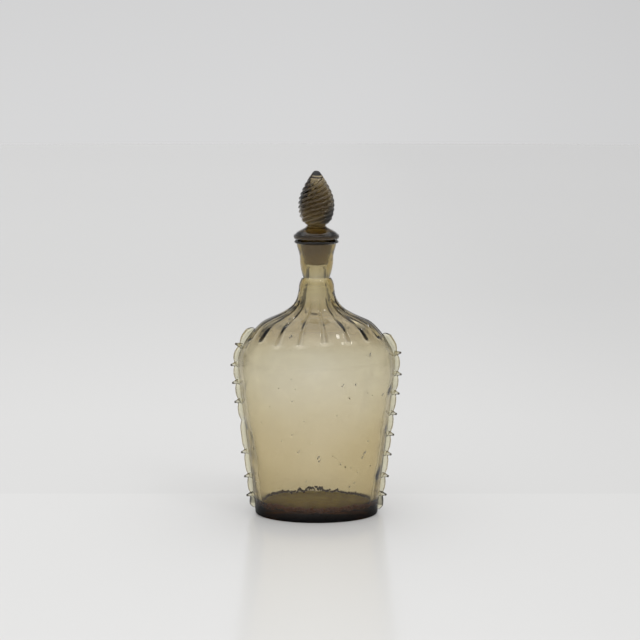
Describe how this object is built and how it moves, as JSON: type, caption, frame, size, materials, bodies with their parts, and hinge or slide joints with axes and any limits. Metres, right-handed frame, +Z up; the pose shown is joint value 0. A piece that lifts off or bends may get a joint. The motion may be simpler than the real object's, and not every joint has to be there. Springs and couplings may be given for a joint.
{
  "type": "carafe",
  "caption": "Flask-shaped hand-blown glass carafe with a ribbed shoulder, pinched trails down its narrow sides and a ground-in stopper with a twisted flame-shaped finial.",
  "frame": {"origin": "on the table, under the middle of the base", "axes": "+Z up along the neck, the broad front towards -Y, +X to the right when the front is faced"},
  "size_m": [0.1456, 0.0932, 0.29],
  "materials": {
    "olive_glass": "fire-polished, slightly wavy, smoky olive-amber, with a few seeds",
    "pale_glass": "fire-polished, pale smoky",
    "dark_glass": "fire-polished, near black where it is thick",
    "stopper_glass": "fire-polished, deep olive-brown",
    "ground_glass": "fine satin, ground to its socket"
  },
  "bodies": {
    "bottle": {"flask_body": "olive_glass", "outer_gather": "olive_glass", "lip_ring": "dark_glass", "left_trail": "pale_glass", "right_trail": "pale_glass"},
    "stopper": {"stopper_plug": "ground_glass", "stopper_flange": "stopper_glass", "stopper_finial": "stopper_glass"}
  },
  "joints": [
    {"name": "stopper_lift", "type": "slide", "parent": "bottle", "child": "stopper", "axis": [0, 0, 1], "range_m": [0, 0.06]}
  ]
}
